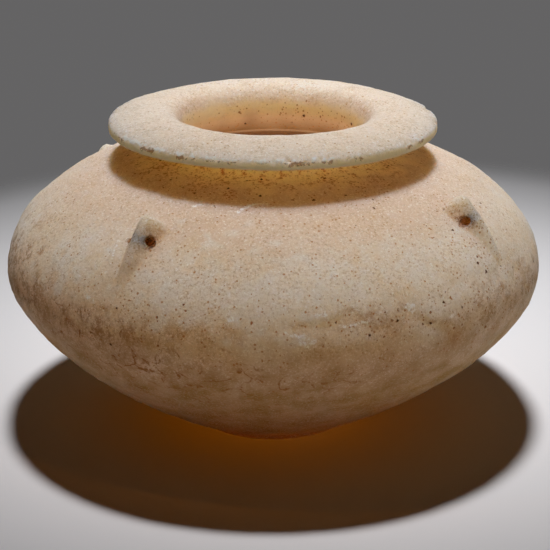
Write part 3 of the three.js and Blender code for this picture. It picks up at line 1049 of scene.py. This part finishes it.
grain = calculated("ADD", calculated("MULTIPLY", cloud(0.9, 3, 0.7), 0.5), cloud(2.4, 4, 0.65))
crusted = calculated("MULTIPLY", grain, between(kept("crust"), 0.0, 1.0, 0.45, 1.0))
pitted = calculated("SUBTRACT", crusted, calculated("MULTIPLY", large_specks, 0.8))
bump = made("ShaderNodeBump", {"Strength": 1.0, "Distance": BUMP_DEPTH * MM, "Height": pitted})
shader = made("ShaderNodeBsdfPrincipled",
              {"Base Color": colour, "Normal": bump.outputs["Normal"], **STONE_SETTINGS},
              subsurface_method="RANDOM_WALK")
made("ShaderNodeOutputMaterial", {"Surface": shader.outputs[0]})
bowl.data.materials.append(STONE)
print(len(tree.nodes), "nodes in the finish")

# %% The bowl stands for its solid
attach(bowl, "root")
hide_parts(NODE)
print(bowl.name, "stands for", NODE)

# %% [markdown]
# ## Floor, light and camera
# A plain pale floor, and one soft lamp that hangs almost straight above, a little behind, and throws
# a round pool of light that fades towards its edge. The belly throws a round shadow into it. What
# lights the lower half of the bowl is the pool itself, and the light that comes through the stone.
# Past the pool the floor fades out into a plain grey, which only the camera sees, so that the dim
# room doesn't wash out the shadow.

# %% Floor
POOL_MIDDLE = (0.028, 0.10)
POOL_RADIUS = 0.377
FLOOR_HALF = 0.5
FLOOR_BELOW = 0.0002
FLOOR_COLOUR = (0.80, 0.79, 0.81, 1)

corners = [(POOL_MIDDLE[0] + x * FLOOR_HALF, POOL_MIDDLE[1] + y * FLOOR_HALF, -FLOOR_BELOW)
           for x, y in ((-1, -1), (1, -1), (1, 1), (-1, 1))]
floor_mesh = bpy.data.meshes.new("floor")
floor_mesh.from_pydata(corners, [], [(0, 1, 2, 3)])
floor = placed("floor", floor_mesh)

floor_finish = bpy.data.materials.new("pale_floor")
floor_mesh.materials.append(floor_finish)
tree = emptied(floor_finish)
floor_place = made("ShaderNodeTexCoord").outputs["Object"]
from_middle = shifted("DISTANCE", floor_place, (*POOL_MIDDLE, 0), "Value")
faded = between(from_middle, 0.78 * POOL_RADIUS, 0.98 * POOL_RADIUS)
pale = made("ShaderNodeBsdfDiffuse", {"Color": FLOOR_COLOUR})
clear = made("ShaderNodeBsdfTransparent")
floor_mix = made("ShaderNodeMixShader", {0: faded, 1: pale.outputs[0], 2: clear.outputs[0]})
made("ShaderNodeOutputMaterial", {"Surface": floor_mix.outputs[0]})
print("the floor fades out", POOL_RADIUS, "m from the middle of the pool")


# %% Overhead lamp
def hung(name, kind, place, watts, colour=(1, 1, 1), radius=None, seen=False):
    """A lamp of a kind at a place. Unless it is seen, the camera looks through it."""
    data = bpy.data.lights.new(name, kind)
    data.energy = watts
    data.color = colour
    if radius:
        data.shadow_soft_size = radius
    shape = placed(name, data)
    shape.location = place
    shape.visible_camera = seen
    return shape


def alone(name, shape):
    """A collection that holds one object, for a lamp that lights nothing else."""
    group = bpy.data.collections.new(name)
    group.objects.link(shape)
    return group


LAMP_HEIGHT = 2.4
LAMP_RADIUS = 0.17
LAMP_WATTS = 250.0
lamp = hung("overhead_lamp", "SPOT", (*POOL_MIDDLE, LAMP_HEIGHT), LAMP_WATTS,
            radius=LAMP_RADIUS, seen=True)
lamp.data.spot_size = 2 * math.atan(POOL_RADIUS / LAMP_HEIGHT)
lamp.data.spot_blend = 1.0
print("the overhead lamp's cone is", round(math.degrees(lamp.data.spot_size), 1), "degrees wide")

# %% [markdown]
# The real stone carries more light down through its walls, and from wall to wall in the hollow, than
# a render follows with its few bounces. A small warm lamp inside the bowl, which the camera doesn't
# see, gives that light back: it shows in the mouth, at the neck, low on the walls and at the foot.

# %% Light in the hollow
GLOW_HEIGHT = 0.062
GLOW_RADIUS = 0.022
GLOW_WATTS = 0.175
GLOW_COLOUR = (1.0, 0.78, 0.58)
hung("light_in_the_hollow", "POINT", (0, 0, GLOW_HEIGHT), GLOW_WATTS, GLOW_COLOUR, GLOW_RADIUS)
print("the light in the hollow has", GLOW_WATTS, "W")

# %% [markdown]
# Some of that light leaves through the underside and warms the shadow on the floor, most of it next
# to the foot. Light linking lets a second orange lamp reach the floor and nothing else, from where
# the light in the hollow would come if the stone didn't hold it back.

# %% Warm shadow
SHADOW_GLOW_HEIGHT = 0.032
SHADOW_GLOW_WATTS = 0.078
SHADOW_GLOW_COLOUR = (1.0, 0.27, 0.0)
under = hung("light_through_the_foot", "POINT", (0, 0, SHADOW_GLOW_HEIGHT), SHADOW_GLOW_WATTS,
             SHADOW_GLOW_COLOUR, GLOW_RADIUS)
under.light_linking.receiver_collection = alone("floor_alone", floor)
under.light_linking.blocker_collection = under.light_linking.receiver_collection

# %% [markdown]
# A long low lamp in front, to the right, stands for the light that a studio's walls give back. It is
# weak and lies low, so it only lifts the shaded lower half of the bowl. It is linked to the bowl
# alone, because on the floor it would pale the shadow.

# %% Low fill
FILL_PLACE = Vector((1.3, -1.85, 0.22))
FILL_AIM = Vector((0, 0, 0.08))
FILL_SIZE = (2.4, 0.35)
FILL_WATTS = 4.7
FILL_COLOUR = (1.0, 0.93, 0.82)
fill = hung("low_fill", "AREA", FILL_PLACE, FILL_WATTS, FILL_COLOUR)
fill.data.shape = "RECTANGLE"
fill.data.size, fill.data.size_y = FILL_SIZE
fill.rotation_euler = (FILL_AIM - FILL_PLACE).to_track_quat("-Z", "Y").to_euler()
fill.light_linking.receiver_collection = alone("bowl_alone", bowl)
print("the low fill stands", round((FILL_PLACE - FILL_AIM).length, 2), "m away")

# %% Dim room
ROOM_SEEN = 0.128
ROOM_LIGHT = 0.001
ROOM_COLOUR = (1.0, 0.98, 0.99, 1)
world = bpy.data.worlds.new("dim_room")
tree = emptied(world)
seen = made("ShaderNodeLightPath").outputs["Is Camera Ray"]
brightness = between(seen, 0.0, 1.0, ROOM_LIGHT, ROOM_SEEN)
room = made("ShaderNodeBackground", {"Color": ROOM_COLOUR, "Strength": brightness})
made("ShaderNodeOutputWorld", {"Surface": room.outputs[0]})
bpy.context.scene.world = world
bpy.context.scene.view_settings.view_transform = "Standard"

# %% [markdown]
# The camera stands where the ellipses of the rim, the belly and the foot put it: as round as they
# look, it is six belly radii away and looks down by about twenty degrees.

# %% Camera
CAMERA_PLACE = Vector((0.0009, -0.6950, 0.3136))
CAMERA_DOWN = 19.65
SENSOR = 36.0
PHOTO_WIDTH = 550
FOCAL_PIXELS = 1608
camera_data = bpy.data.cameras.new("camera")
camera_data.sensor_width = SENSOR
camera_data.lens = FOCAL_PIXELS * SENSOR / PHOTO_WIDTH
camera = placed("camera", camera_data)
camera.location = CAMERA_PLACE
camera.rotation_euler = (math.radians(90 - CAMERA_DOWN), 0, 0)
bpy.context.scene.camera = camera
print("lens", round(camera_data.lens, 2), "mm")
